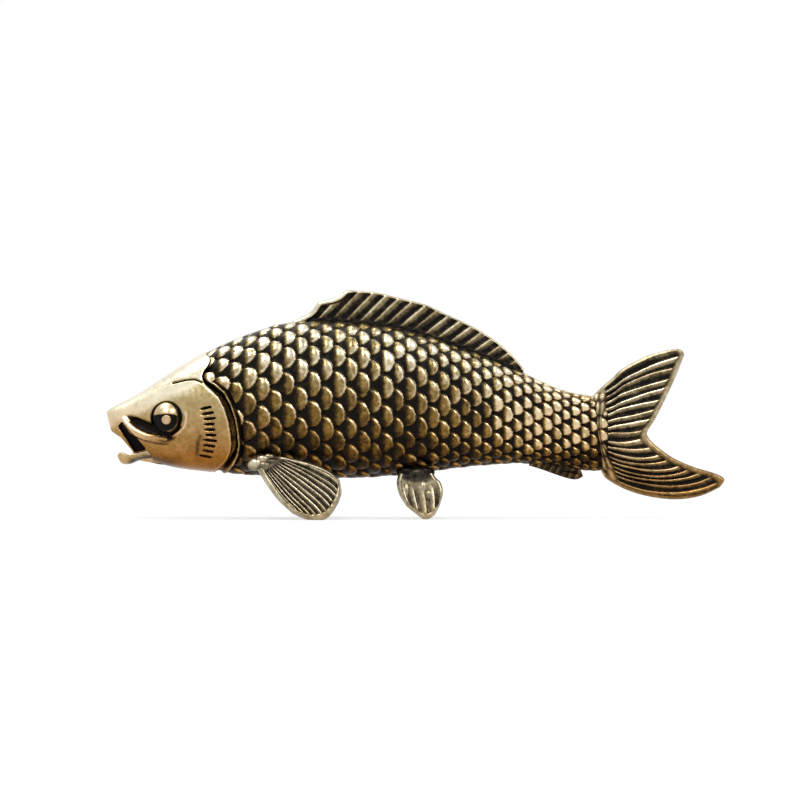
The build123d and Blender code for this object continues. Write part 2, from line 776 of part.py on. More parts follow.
skin_form = body_loft(4, 13, solder_gap)
left_pegs = [pectoral_peg(solder_gap), pelvic_peg(solder_gap)]
middle_slots = [
    fin_slot(dorsal_outline(), dorsal_thickness),
    fin_slot(anal_outline(), anal_thickness),
    tail_tenon_block(solder_gap),
]
left_pectoral = make_pectoral_fin(skin_form)
left_pelvic = make_pelvic_fin(skin_form)
left_eye = make_eye()

pieces = {
    "trunk": make_trunk(both_sides(left_pegs) + middle_slots),
    "head": make_head(),
    "lower_jaw": make_lower_jaw(),
    "left_eye": left_eye,
    "right_eye": mirror(left_eye, about=Plane.XZ),
    "dorsal_fin": make_dorsal_fin(),
    "anal_fin": make_anal_fin(),
    "tail_fin": make_tail_fin(),
    "left_pectoral_fin": left_pectoral,
    "right_pectoral_fin": mirror(left_pectoral, about=Plane.XZ),
    "left_pelvic_fin": left_pelvic,
    "right_pelvic_fin": mirror(left_pelvic, about=Plane.XZ),
}

os.makedirs("parts", exist_ok=True)
for node, piece in pieces.items():
    export_step(piece, f"parts/{node}.step")
    box = piece.bounding_box()
    print(node, len(piece.solids()), piece.is_valid, round(piece.volume, 2), box.min, box.max)
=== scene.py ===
from math import cos, pi, radians, sin

import bmesh
import bpy
import numpy as np
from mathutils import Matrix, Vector


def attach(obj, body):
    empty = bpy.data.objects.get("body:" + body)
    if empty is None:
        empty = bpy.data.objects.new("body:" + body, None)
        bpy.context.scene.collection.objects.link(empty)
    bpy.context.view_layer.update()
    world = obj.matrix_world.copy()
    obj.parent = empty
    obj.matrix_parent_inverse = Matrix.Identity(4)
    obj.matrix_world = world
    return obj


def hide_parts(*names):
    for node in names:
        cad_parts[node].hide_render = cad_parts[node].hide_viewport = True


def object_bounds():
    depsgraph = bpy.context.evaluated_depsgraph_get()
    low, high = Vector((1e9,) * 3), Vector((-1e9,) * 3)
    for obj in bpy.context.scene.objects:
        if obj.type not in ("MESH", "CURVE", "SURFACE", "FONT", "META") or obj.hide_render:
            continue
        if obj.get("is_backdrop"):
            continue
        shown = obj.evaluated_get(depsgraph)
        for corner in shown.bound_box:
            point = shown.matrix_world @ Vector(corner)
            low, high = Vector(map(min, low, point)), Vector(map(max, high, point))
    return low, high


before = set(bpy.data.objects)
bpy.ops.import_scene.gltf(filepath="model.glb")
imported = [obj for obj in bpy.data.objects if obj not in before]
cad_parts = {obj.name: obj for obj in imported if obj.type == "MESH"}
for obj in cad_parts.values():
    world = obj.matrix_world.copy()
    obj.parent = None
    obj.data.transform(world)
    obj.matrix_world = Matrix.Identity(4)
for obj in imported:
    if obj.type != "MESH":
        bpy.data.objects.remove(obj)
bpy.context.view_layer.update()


# Trunk: the solid brass body of the carp, cast in one piece and chased all over with overlapping scales.
# Each scale is a raised cushion with a round back edge. Black patina is left in the hollows, and the
# crowns are rubbed bright. Painted highlights lighten the back, the upper rims and the tail end, and
# painted shade darkens the belly and the rows under the dorsal fin.
mm = 0.001
body_length = 48.6
body_depth = 15.5
half_width = 5.15
belly_height = 3.85
snout_x = -30.0
fullness = 0.86
body_stations = np.array([
    (0.000, 0.412, 0.020, 0.206, 0.146),
    (0.008, 0.441, 0.027, 0.109, 0.301),
    (0.058, 0.525, 0.062, 0.109, 0.476),
    (0.122, 0.656, 0.122, 0.081, 0.680),
    (0.186, 0.775, 0.186, 0.050, 0.845),
    (0.234, 0.850, 0.234, 0.031, 0.922),
    (0.282, 0.912, 0.282, 0.019, 0.965),
    (0.346, 0.975, 0.346, 0.006, 0.994),
    (0.425, 1.000, 0.425, 0.000, 1.000),
    (0.497, 0.988, 0.497, 0.000, 0.986),
    (0.569, 0.963, 0.569, 0.013, 0.942),
    (0.635, 0.912, 0.635, 0.034, 0.864),
    (0.699, 0.844, 0.699, 0.062, 0.767),
    (0.763, 0.766, 0.763, 0.081, 0.660),
    (0.825, 0.681, 0.825, 0.091, 0.563),
    (0.889, 0.588, 0.889, 0.078, 0.466),
    (0.929, 0.547, 0.929, 0.059, 0.408),
    (0.969, 0.525, 0.969, 0.044, 0.350),
    (1.000, 0.490, 1.000, 0.044, 0.300),
])


def step(low, high, value):
    """0 below low, 1 above high, with a smooth rise between."""
    f = np.clip((value - low) / (high - low), 0, 1)
    return f * f * (3 - 2 * f)


def through_rows(rows, place):
    """Smooth curve through the rows of a table, at places counted in rows."""
    i = np.clip(place.astype(int), 0, len(rows) - 2)
    f = (place - i)[:, None]
    a, b = rows[np.maximum(i - 1, 0)], rows[i]
    c, d = rows[i + 1], rows[np.minimum(i + 2, len(rows) - 1)]
    rise, drop = (c - a) / 2, (d - b) / 2
    return b + f * (rise + f * (3 * (c - b) - 2 * rise - drop + f * (2 * (b - c) + rise + drop)))


def body_section(place):
    """Station values at places along the station table."""
    return through_rows(body_stations, place)


def stations_at(share):
    """Places in the station table at shares of the belly line's length."""
    table = np.linspace(0, len(body_stations) - 1, 2000)
    return np.interp(share, body_section(table)[:, 2], table)


def body_skin(place, turn, lift):
    """Points on the body in millimetres, at angles round it from the right flank over the back."""
    back_along, back_up, belly_along, belly_up, wide = body_section(place).T
    rise = 0.5 + 0.5 * np.sin(turn)
    tall = body_depth * (back_up - belly_up) / 2
    out_y, out_z = np.cos(turn) / (half_width * wide), np.sin(turn) / tall
    out = np.hypot(out_y, out_z)
    side = half_width * wide * np.abs(np.cos(turn)) ** fullness * np.sign(np.cos(turn))
    x = snout_x + body_length * (belly_along + (back_along - belly_along) * rise)
    z = belly_height + body_depth * (belly_up + (back_up - belly_up) * rise)
    return np.stack([x, side + lift * out_y / out, z + lift * out_z / out], axis=1)


def gill_edge():
    """Edge of the head in the side view, from the nape over the gill cover to the throat, and how far the
    groove behind it is open."""
    rows = np.array([
        (0.200, 0.883, 0.15), (0.200, 0.783, 0.15), (0.207, 0.760, 0.15), (0.208, 0.735, 0.15),
        (0.204, 0.707, 0.15), (0.197, 0.676, 0.15), (0.193, 0.641, 0.20), (0.197, 0.601, 0.50),
        (0.211, 0.561, 0.90), (0.227, 0.512, 1.00), (0.238, 0.449, 1.00), (0.247, 0.365, 1.00),
        (0.251, 0.287, 1.00), (0.253, 0.212, 1.00), (0.250, 0.163, 1.00), (0.242, 0.114, 1.00),
        (0.231, 0.073, 1.00), (0.214, 0.040, 1.00), (0.196, -0.010, 1.00),
    ])
    place = np.linspace(0, len(rows) - 1, 400)
    along, up, opened = [np.interp(place, np.arange(len(rows)), value) for value in rows.T]
    return np.stack([snout_x + body_length * along, belly_height + body_depth * up, opened], axis=1)


def behind_gill(x, z):
    """Millimetres behind the gill edge in the side view, and how far the groove is open there."""
    edge = gill_edge()
    far = np.full(len(x), np.inf)
    opened = np.zeros(len(x))
    for edge_x, edge_z, share in edge:
        near = np.hypot(x - edge_x, z - edge_z)
        opened = np.where(near < far, share, opened)
        far = np.minimum(near, far)
    in_front = x < np.interp(z, edge[::-1, 1], edge[::-1, 0])
    return np.where(in_front, -far, far), opened


def scale_column_places():
    """Places in the station table of the columns of scales, closer towards the tail."""
    start, pitch_front, pitch_rear = 0.165, 1.36, 0.86
    reach = body_length * (1 - start)
    runs = [0.0]
    while runs[-1] < reach:
        runs.append(runs[-1] + pitch_front + (pitch_rear - pitch_front) * runs[-1] / reach)
    return stations_at(start + np.array(runs) * (1 - start) / runs[-1])


scale_rows = 16
scale_relief = 0.55


def scale_shields(column, row, up):
    """Height from 0 to 1 of the scale coat, and how far it is rubbed bright, with a painted highlight on
    the upper side of each rim.

    up is 1 where the rows count upwards, and -1 where they count downwards; it puts the painted highlight
    on the upper side of each rim.
    """
    height = np.zeros_like(column)
    bright = np.zeros_like(column)
    for back in (-2, -1, 0, 1):
        i = np.floor(column) + back
        odd = np.mod(i, 2)
        nearest = np.round((row - odd) / 2) * 2 + odd
        for aside in (-2, 0, 2):
            k = nearest + aside
            chance = np.mod(np.sin(i * 12.9898 + np.mod(k, 2 * scale_rows) * 78.233) * 43758.5453, 1.0)
            other = np.mod(np.sin(i * 39.3461 + np.mod(k, 2 * scale_rows) * 11.135) * 24634.6345, 1.0)
            du = column - i - 0.16 * (other - 0.5)
            dv = row - k - 0.18 * (chance - 0.5)
            tall = 0.92 + 0.12 * (other - 0.5)
            away = np.hypot(np.maximum(du, 0) / (1.02 + 0.12 * (chance - 0.5)), dv / tall)
            edge = 1 - away
            ramp = 0.02 + 0.98 * step(-0.70 - 0.2 * chance, 0.50, du)
            near = 1 - np.clip(edge / 0.28, 0, 1)
            dome = 0.55 * np.sqrt(1 - near * near) + 0.45 * np.clip(1 - away * away, 0, 1)
            shield = np.where((edge > 0) & (du > -1.2), ramp * dome * (0.90 + 0.20 * chance), 0)
            rim = step(0.02, 0.07, edge) * (1 - step(0.12, 0.28, edge)) * step(0.0, 0.5, du)
            face = step(-0.22, 0.42, du - 0.12 * np.abs(dv) + 0.2 * (other - 0.5)) * step(0.0, 0.08, edge)
            # Rubbed face and rim, with a painted highlight on the rim's upper side.
            rubbed = face * (0.44 + 0.20 * chance) + rim * (0.14 + 0.32 * step(-0.6, 0.5, dv * up))
            taller = shield > height
            height = np.where(taller, shield, height)
            bright = np.where(taller, rubbed, bright)
    return height, bright


columns = scale_column_places()


def lay_skin(skin, points, worn):
    """Moves a bmesh's points to their places, in millimetres, and writes the attribute of wear and painted
    light: 0 is black patina and 1 is bright brass or a painted highlight. Returns that attribute's layer."""
    layer = skin.verts.layers.float.new("worn")
    for vert, point, wear_light_value in zip(skin.verts, points * mm, worn):
        vert.co = point
        vert[layer] = wear_light_value
    for face in skin.faces:
        face.smooth = True
    return layer


def cast_piece(name, skin):
    """New piece from a finished bmesh, with its faces turned outwards."""
    bmesh.ops.recalc_face_normals(skin, faces=skin.faces)
    mesh = bpy.data.meshes.new(name)
    skin.to_mesh(mesh)
    skin.free()
    piece = bpy.data.objects.new(name, mesh)
    bpy.context.collection.objects.link(piece)
    return piece


def scaled_trunk(name, first, last):
    """Closed length of the trunk between two shares of its columns, with scales, gill groove and collar."""
    coat = bmesh.new()
    bmesh.ops.create_grid(coat, x_segments=250, y_segments=392, size=1)
    flat = np.array([v.co[:2] for v in coat.verts])
    column = (first + (last - first) * (flat[:, 0] + 1) / 2) * (len(columns) - 1)
    turn = flat[:, 1] * pi - pi / 2
    place = np.interp(column, np.arange(len(columns)), columns)
    x, _, z = body_skin(place, turn, np.zeros_like(turn)).T
    height, bright = scale_shields(column, turn / pi * scale_rows, np.sign(np.cos(turn)))
    gill, opened = behind_gill(x, z)
    # Painted highlight over the upper rear towards the tail, where the scales are also a little flatter.
    tail_sheen_zone = step(2.0, 15.0, x) * step(5.6, 8.2, z)
    # Painted highlight along the back.
    back_sheen = step(11.0, 16.0, z)
    # Painted shade, darker towards the belly.
    belly_shade = 1 - step(4.5, 10.5, z)
    groove = 0.55 * opened
    start = 0.80 * opened - 0.45 * (1 - opened)
    fade = step(start, start + 0.40, gill) * (1 - 0.20 * tail_sheen_zone)
    collar = step(groove - 0.06, groove + 0.06, gill) * (1 - step(groove + 0.14, groove + 0.32, gill))
    collar = collar * step(0.3, 0.7, opened)
    trench = (1 - step(groove - 0.12, groove, gill)) * step(-0.15, 0.0, gill) * step(0.2, 0.5, opened)
    lift = scale_relief * (height * fade - 0.94) + collar * (scale_relief + 0.02) - 0.40 * trench
    slope = np.abs(np.cos(turn))
    flank = step(0.06, 0.40 + 0.25 * step(8.0, 14.0, x), slope)
    fin_shade = (1 - step(0.12, 0.48, slope)) * step(-11.8, -9.8, x) * (1 - step(9.5, 11.0, x))
    fin_shade = fin_shade * (z > 11.0)
    lift = lift * (0.25 + 0.75 * flank) - 0.06 * (1 - flank)
    lift = np.where(gill < -0.6, -1.3, lift) - 0.30 * step(17.4, 18.6, x)
    # Painted highlights on the back and the tail end, and painted shade on the belly.
    bright = bright * (1 + 0.70 * back_sheen + 1.85 * tail_sheen_zone) * (1 - 0.32 * belly_shade)
    worn = np.clip(bright * fade + 0.80 * collar, 0, 1) * (1 - trench)
    worn = worn + trench * (0.32 + 0.12 * (1 - step(5.0, 9.0, z)))
    # Painted highlight along the smooth top of the tail end, and painted shade under the dorsal fin.
    worn = np.maximum(worn, 0.75 * (1 - flank) * tail_sheen_zone) * (1 - 0.7 * fin_shade)
    lay_skin(coat, body_skin(place, turn, lift), worn)
    bmesh.ops.remove_doubles(coat, verts=coat.verts, dist=0.001 * mm)
    rims = [edge for edge in coat.edges if edge.is_boundary]
    ends = bmesh.ops.holes_fill(coat, edges=rims, sides=0)["faces"]
    for edge in {edge for end in ends for edge in end.edges}:
        edge.smooth = False
    return cast_piece(name, coat)


class Finish:
    """A socket of a material's shader, so that maths on it reads as an expression."""

    def __init__(self, tree, socket):
        self.tree, self.socket = tree, socket

    def node(self, kind, settings=None, output=0, **inputs):
        """A node with its settings, and its inputs by name or number, as another Finish."""
        made = self.tree.nodes.new(kind)
        for name, value in (settings or {}).items():
            if name == "stops":
                while len(made.color_ramp.elements) < len(value):
                    made.color_ramp.elements.new(1.0)
                for element, (place, colour) in zip(made.color_ramp.elements, value):
                    element.position, element.color = place, (*colour, 1)
            else:
                setattr(made, name, value)
        for name, value in inputs.items():
            key = int(name[1:]) if name[0] == "i" and name[1:].isdigit() else name.replace("_", " ")
            if isinstance(value, Finish):
                self.tree.links.new(value.socket, made.inputs[key])
            else:
                made.inputs[key].default_value = value
        return Finish(self.tree, made.outputs[output])

    def maths(self, operation, a, b):
        return self.node("ShaderNodeMath", {"operation": operation}, i0=a, i1=b)

    def __add__(self, other):
        return self.maths("ADD", self, other)

    def __radd__(self, other):
        return self.maths("ADD", other, self)

    def __sub__(self, other):
        return self.maths("SUBTRACT", self, other)

    def __rsub__(self, other):
        return self.maths("SUBTRACT", other, self)

    def __mul__(self, other):
        return self.maths("MULTIPLY", self, other)

    def __rmul__(self, other):
        return self.maths("MULTIPLY", other, self)


def antique_brass(name, pale, gold, brown, mottle, warm_reflection_tint, warm_reflection_heights, tint_shed_at_bright=0.0):
    """Brass with black patina in the hollows and rubbed bright on the crowns, with painted highlights and
    painted shade, as the attribute of wear and painted light says.

    A painted warm reflection tints and darkens it fully below the lower of two heights, and not at all
    above the upper one. The last argument is the share of that tint left off where the brass is brightest.
    """
    material = bpy.data.materials.new(name)
    material.use_nodes = True
    tree = material.node_tree
    shader = tree.nodes["Principled BSDF"]
    here = Finish(tree, None)
    spot = here.node("ShaderNodeTexCoord", output="Object")
    # This attribute holds wear and painted light together: patina, rubbed brass, painted highlights and
    # painted shade.
    rubbed = here.node("ShaderNodeAttribute", {"attribute_name": "worn"}, output="Fac")
    cloud = here.node("ShaderNodeTexNoise", Vector=spot, Scale=700.0, Detail=4.0, Roughness=0.6)
    grain = here.node("ShaderNodeTexNoise", Vector=spot, Scale=2600.0, Detail=3.0, Roughness=0.55)
    rise = here.node("ShaderNodeSeparateXYZ", output="Z", Vector=spot)
    tone = rubbed * 0.90 + (cloud - 0.5) * mottle + (grain - 0.5) * mottle
    colour = here.node("ShaderNodeValToRGB", {"stops": [
        (0.06, (0.004, 0.003, 0.002)), (0.28, brown), (0.58, gold), (0.92, pale)]}, Fac=tone)
    low, high = warm_reflection_heights
    # Painted warm reflection and shade: a warm, darker tint towards the bottom, set by height.
    warm_reflection = here.node("ShaderNodeMapRange", Value=rise, From_Min=low * mm, From_Max=high * mm,
                     To_Min=1.0, To_Max=0.0)
    warm_reflection = warm_reflection * (1 - rubbed * tint_shed_at_bright)
    tinted = here.node("ShaderNodeMix", {"data_type": "RGBA", "blend_type": "MULTIPLY"}, output=2,
                       i0=warm_reflection, i6=colour, i7=(*warm_reflection_tint, 1.0))
    tree.links.new(tinted.socket, shader.inputs["Base Color"])
    tree.links.new((0.42 - rubbed * 0.18 + (cloud - 0.5) * 0.25).socket, shader.inputs["Roughness"])
    tree.links.new((0.82 + rubbed * 0.16).socket, shader.inputs["Metallic"])
    bump = here.node("ShaderNodeBump", Height=cloud * 0.6 + grain * 0.4, Strength=0.3 + 0.4 * mottle,
                     Distance=0.08 * mm)
    tree.links.new(bump.socket, shader.inputs["Normal"])
    return material


scale_brass = antique_brass(
    "scale_brass", pale=(0.76, 0.69, 0.52), gold=(0.23, 0.168, 0.054), brown=(0.036, 0.025, 0.009),
    mottle=0.6, warm_reflection_tint=(1.0, 0.53, 0.02), warm_reflection_heights=(5.5, 16.5), tint_shed_at_bright=0.5)
for name, first, last in (("trunk_front_scales", 0.0, 0.5), ("trunk_rear_scales", 0.5, 1.0)):
    trunk = scaled_trunk(name, first, last)
    trunk.data.materials.append(scale_brass)
    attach(trunk, "root")
    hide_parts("trunk")


# Head: a smooth cast head with broad gill covers, lip bars and hollow cheeks. It is soldered on the
# trunk's neck peg, and it is rubbed brighter than the scales. Its crown, the fold behind the eye and the
# cheek bone carry painted highlights, and its throat painted shade.
def recast(node, name, grain, soften):
    """Fresh casting of a CAD piece: one even skin of small faces, with its edges softened."""
    skin = bmesh.new()
    skin.from_mesh(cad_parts[node].data)
    bmesh.ops.remove_doubles(skin, verts=skin.verts, dist=0.0001 * mm)
    bmesh.ops.scale(skin, vec=(1 / mm, 1 / mm, 1 / mm), verts=skin.verts)
    mould = bpy.data.meshes.new(name)
    skin.to_mesh(mould)
    skin.free()
    piece = bpy.data.objects.new(name, mould)
    bpy.context.collection.objects.link(piece)
    remesh = piece.modifiers.new("skin", "REMESH")
    remesh.mode = "VOXEL"
    remesh.voxel_size = grain
    even = bpy.data.meshes.new_from_object(piece.evaluated_get(bpy.context.evaluated_depsgraph_get()))
    piece.modifiers.clear()
    skin = bmesh.new()
    skin.from_mesh(even)
    for _ in range(soften):
        bmesh.ops.smooth_vert(skin, verts=skin.verts, factor=0.5,
                              use_axis_x=True, use_axis_y=True, use_axis_z=True)
    bmesh.ops.scale(skin, vec=(mm, mm, mm), verts=skin.verts)
    for face in skin.faces:
        face.smooth = True
    skin.to_mesh(even)
    skin.free()
    even.name = name
    piece.data = even
    return piece


def paint_wear_and_light(mesh, worn):
    """Writes the attribute of wear and painted light on a mesh: 0 is black patina and 1 is bright brass or
    a painted highlight.
    """
    layer = mesh.attributes.new("worn", "FLOAT", "POINT")
    layer.data.foreach_set("value", np.clip(worn, 0, 1).astype(np.float32))


def mesh_points(mesh):
    """Places of a mesh's points in millimetres, and their normals."""
    places, normals = np.empty(len(mesh.vertices) * 3), np.empty(len(mesh.vertices) * 3)
    mesh.vertices.foreach_get("co", places)
    mesh.vertex_normals.foreach_get("vector", normals)
    return places.reshape(-1, 3) / mm, normals.reshape(-1, 3)


def near_line(line, x, z):
    """Distance in the side view to a line through a few points, in millimetres."""
    line = np.array(line, dtype=float)
    far = np.full(len(x), np.inf)
    for (ax, az), (bx, bz) in zip(line, line[1:]):
        run = np.array((bx - ax, bz - az))
        f = np.clip(((x - ax) * run[0] + (z - az) * run[1]) / (run @ run), 0, 1)
        far = np.minimum(far, np.hypot(x - ax - f * run[0], z - az - f * run[1]))
    return far


def below_skin(places):
    """Depth in millimetres below the smooth skin of the body, measured across the flank."""
    x, y, z = places.T
    _, back_up, _, belly_up, wide = body_section(stations_at((x - snout_x) / body_length)).T
    middle = belly_height + body_depth * (back_up + belly_up) / 2
    tall = body_depth * (back_up - belly_up) / 2
    swing = np.clip((z - middle) / tall, -1, 1)
    flat = np.sqrt(1 - swing * swing)
    return (half_width * wide * flat ** fullness - np.abs(y)) * flat


def raised_chin(x, z):
    """Rise of the underside between the jaw and the throat, in millimetres."""
    chin_rise = 0.16
    return chin_rise * step(-27.8, -26.6, x) * (1 - step(-26.2, -24.0, x)) * (1 - step(5.3, 6.6, z))


head = recast("head", "head_casting", 0.088, 3)
places, normals = mesh_points(head.data)
x, y, z = places.T
sunk = below_skin(places)
gill, opened = behind_gill(x, z)
crease = near_line([(-23.5, 13.15), (-22.2, 13.45), (-21.35, 13.50), (-20.65, 13.23)], x, z)
hollow = near_line([(-27.7, 9.45), (-25.9, 8.85), (-24.2, 8.05), (-23.7, 8.20)], x, z)
bar = near_line([(-28.2, 9.55), (-27.4, 8.6), (-26.1, 7.95), (-24.15, 7.7)], x, z)
cheek_line = near_line([(-20.8, 8.0), (-21.05, 7.3), (-21.15, 6.3)], x, z)
cheek_bone = near_line([(-22.4, 11.6), (-21.6, 12.0), (-20.9, 11.8)], x, z)
socket_x, socket_z, fold_radius = -24.06, 9.84, 1.95
orbit = np.hypot(x - socket_x, z - socket_z)
fold = np.exp(-((orbit - fold_radius) / 0.24) ** 2) * step(-0.1, 0.7, (x - socket_x) / orbit)
fold = fold * (1 - step(10.2, 11.2, z))
on_side = step(0.25, 0.6, np.abs(normals[:, 1]))
roll = np.clip(1 + gill / 0.42, 0, 1)
level = -step(-26.2, -24.5, x) * (1 - step(0.5, 0.8, bar)) * np.minimum(sunk, 0)
behind_eye = step(-23.9, -23.3, x) * (1 - step(-22.3, -21.8, x)) * (1 - step(10.0, 10.8, z))
level = level - step(1.60, 1.80, orbit) * behind_eye * np.clip(sunk, 0, 1)
places[:, 1] -= np.sign(y) * level
shift = -0.16 * np.exp(-(crease / 0.09) ** 2) + 0.13 * fold + 0.07 * np.exp(-(cheek_bone / 0.8) ** 2)
shift = shift * on_side
shift = shift - 0.15 * (1 - np.sqrt(1 - roll * roll)) * step(0.3, 0.8, opened) * on_side
places = places + normals * shift[:, None]
places[:, 2] += raised_chin(x, z)
head.data.vertices.foreach_set("co", (places * mm).ravel())
# Painted highlight: the top of the head is lighter above a slanting line.
crown = step(-0.8, 0.3, z - 23.26 - 0.48 * x)
# Painted shade on the downward faces of the throat.
throat = step(0.5, 0.95, -normals[:, 2]) * step(-27.8, -27.0, x) * (1 - step(-25.0, -22.0, x))
worn = (0.66 + 0.34 * crown) * (1 - step(0.06, 0.22, sunk + level) * on_side)
worn = worn * (1 - 0.95 * np.exp(-(crease / 0.12) ** 2))
worn = worn * (1 - 0.95 * (1 - step(0.30, 0.80, hollow)) * on_side)
worn = worn * (1 - 0.4 * np.exp(-(cheek_line / 0.20) ** 2))
worn = worn * (1 - 0.5 * throat)
# Painted highlights on the fold behind the eye and on the cheek bone.
worn = np.maximum(worn, 0.95 * fold + 0.15 * np.exp(-(cheek_bone / 0.4) ** 2))
worn = worn * step(1.46, 1.66, orbit)
bar_width = 0.42 - 0.28 * step(-27.2, -24.2, x)
bar_glow = 0.98 - 0.26 * step(-27.6, -24.8, x)
worn = np.maximum(worn, bar_glow * (1 - step(bar_width - 0.08, bar_width + 0.10, bar)) * on_side)
worn = np.maximum(worn, np.exp(-((gill + 0.18) / 0.12) ** 2) * step(0.3, 0.8, opened))
worn = worn * (0.42 + 0.58 * step(0.02, -0.10, gill))
paint_wear_and_light(head.data, worn)
head_brass = antique_brass(
    "head_brass", pale=(0.86, 0.79, 0.60), gold=(0.44, 0.34, 0.15), brown=(0.05, 0.034, 0.016),
    mottle=0.32, warm_reflection_tint=(0.66, 0.33, 0.09), warm_reflection_heights=(5.8, 12.2))
head.data.materials.append(head_brass)
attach(head, "root")
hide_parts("head")


# Lower jaw: a small cast lip of brass, pegged into the head under the open mouth. It is rubbed as bright
# as the head, with a painted highlight on its upper faces and painted shade on its underside.
jaw = recast("lower_jaw", "jaw_casting", 0.06, 3)
places, normals = mesh_points(jaw.data)
places = places + 0.05 * normals
underside = np.interp(places[:, 0], snout_x + body_length * body_stations[:, 2], body_stations[:, 3])
floor_line = belly_height + body_depth * underside - 0.05
places[:, 2] = np.where(places[:, 0] > -27.0, np.maximum(places[:, 2], floor_line), places[:, 2])
places[:, 2] += raised_chin(places[:, 0], places[:, 2])
jaw.data.vertices.foreach_set("co", (places * mm).ravel())
# Painted highlight on the upward faces, and painted shade on the underside behind the lip.
worn = 0.66 + 0.26 * step(-0.3, 0.5, normals[:, 2])
worn = worn * (1 - 0.65 * step(0.6, 0.98, -normals[:, 2]) * step(-28.2, -27.4, places[:, 0]))
paint_wear_and_light(jaw.data, worn)
jaw_brass = antique_brass(
    "jaw_brass", pale=(0.88, 0.81, 0.64), gold=(0.48, 0.38, 0.20), brown=(0.05, 0.034, 0.016),
    mottle=0.3, warm_reflection_tint=(0.94, 0.58, 0.28), warm_reflection_heights=(4.5, 7.0))
jaw.data.materials.append(jaw_brass)
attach(jaw, "root")
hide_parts("lower_jaw")


# Eyes: domed brass eyeballs, each pegged into a round socket. A heavy lid lies over the upper half, and
# the pupil stands in a sunk black ring below it.
eye_middle = np.array((-24.14, -3.47, 9.83))
eye_half_wide, eye_half_tall = 1.38, 1.52
eye_front_depth, eye_back_depth = 1.42, 0.60
pupil_x, pupil_z, lid_edge_z = -24.08, 9.62, 10.16
turn, tip = radians(17.0), radians(5.0)
sight = np.array((-sin(turn) * cos(tip), -cos(turn) * cos(tip), sin(tip)))
across = np.array((cos(turn), -sin(turn), 0))
for side, way in (("left", -1), ("right", 1)):
    ball = bmesh.new()
    bmesh.ops.create_uvsphere(ball, u_segments=112, v_segments=80, radius=1)
    wide, tall, high = np.array([v.co[:] for v in ball.verts]).T
    out = -0.565 + np.where(high > 0, eye_front_depth, eye_back_depth) * high
    spots = eye_middle + np.outer(eye_half_wide * wide, across) + np.outer(out, sight)
    spots = spots + np.outer(eye_half_tall * tall, np.cross(sight, across))
    x, y, z = spots.T
    from_pupil = np.hypot(x - pupil_x, z - pupil_z)
    lid = step(-0.05, 0.05, z - lid_edge_z + 0.10 * (x - pupil_x) ** 2)
    ring = step(0.40, 0.52, from_pupil) * (1 - lid)
    rim = step(0.95, 1.10, from_pupil) * step(-0.3, 0.4, (x - pupil_x) / np.maximum(from_pupil, 0.01))
    sunk_in = np.where(high > 0.3, 0.10 * lid - 0.15 * ring * (1 - step(0.95, 1.15, from_pupil)), 0)
    spots = spots + np.outer(sunk_in, sight)
    spots[:, 1] *= -way
    worn = np.where(lid > 0.5, 0.80, 0.82 * (1 - ring) + 0.42 * rim * ring)
    lay_skin(ball, spots, worn)
    eye = cast_piece(f"{side}_eyeball", ball)
    eye.data.materials.append(head_brass)
    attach(eye, "root")
    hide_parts(f"{side}_eye")


# Tail fin: a forked casting with a thick smooth rim along its back edge and curved rays on both faces.
# Its root carries a chain of long beads where it meets the scales.
def along_curve(points, share):
    """Places at shares of the length of a smooth curve through a few points."""
    points = np.array(points, dtype=float)
    dense = through_rows(points, np.linspace(0, len(points) - 1, 40 * len(points)))
    run = np.concatenate([[0], np.cumsum(np.linalg.norm(np.diff(dense, axis=0), axis=1))])
    return np.stack([np.interp(share * run[-1], run, dense[:, axis]) for axis in (0, 1)], axis=1)


def fin_sheet(name, foot, front, back, edge, across, out, shape, lay, lumps=()):
    """Two-sided fin skin in the patch between a foot, a front side, a back side and an outer edge.

    shape gives each point's half thickness and how far it is rubbed bright. lay puts the flat fin,
    in millimetres, in its place on the fish. Each lump is a rounded knuckle of the casting, given by its
    place on the flat fin, its two half sizes there, its half thickness and how bright it is rubbed.
    """
    skin = bmesh.new()
    bmesh.ops.create_grid(skin, x_segments=2 * across, y_segments=out, size=1)
    flat = np.array([v.co[:2] for v in skin.verts])
    u = 1 - np.abs(flat[:, 0])
    v = (flat[:, 1] + 1) / 2
    side = np.where(flat[:, 0] < 0, -1.0, 1.0)
    low, high = along_curve(foot, u), along_curve(edge, u)
    left, right = along_curve(front, v), along_curve(back, v)
    corner = [np.array(c, dtype=float) for c in (foot[0], foot[-1], edge[0], edge[-1])]
    uu, vv = u[:, None], v[:, None]
    flat_fin = (1 - vv) * low + vv * high + (1 - uu) * left + uu * right
    flat_fin -= (1 - uu) * (1 - vv) * corner[0] + uu * (1 - vv) * corner[1]
    flat_fin -= (1 - uu) * vv * corner[2] + uu * vv * corner[3]
    reach = np.linalg.norm(high - low, axis=1)
    width = np.linalg.norm(right - left, axis=1)
    inward = np.minimum((1 - v) * reach, np.minimum(u, 1 - u) * width)
    half, worn = shape(u, v, inward, flat_fin)
    wear_and_light_layer = lay_skin(skin, lay(flat_fin, side * half), worn)
    bmesh.ops.remove_doubles(skin, verts=skin.verts, dist=0.002 * mm)
    bmesh.ops.holes_fill(skin, edges=[e for e in skin.edges if e.is_boundary], sides=0)
    for along, down, half_long, half_tall, thick, glow in lumps:
        ball = bmesh.ops.create_uvsphere(skin, u_segments=20, v_segments=12, radius=1)["verts"]
        spots = np.array([v.co[:] for v in ball])
        flat_lump = np.stack([along + half_long * spots[:, 0], down + half_tall * spots[:, 1]], axis=1)
        for vert, point, rise in zip(ball, lay(flat_lump, thick * spots[:, 2]) * mm, spots[:, 2]):
            vert.co = point
            vert[wear_and_light_layer] = glow * (0.5 + 0.5 * abs(rise))
    for face in skin.faces:
        face.smooth = True
    return cast_piece(name, skin)


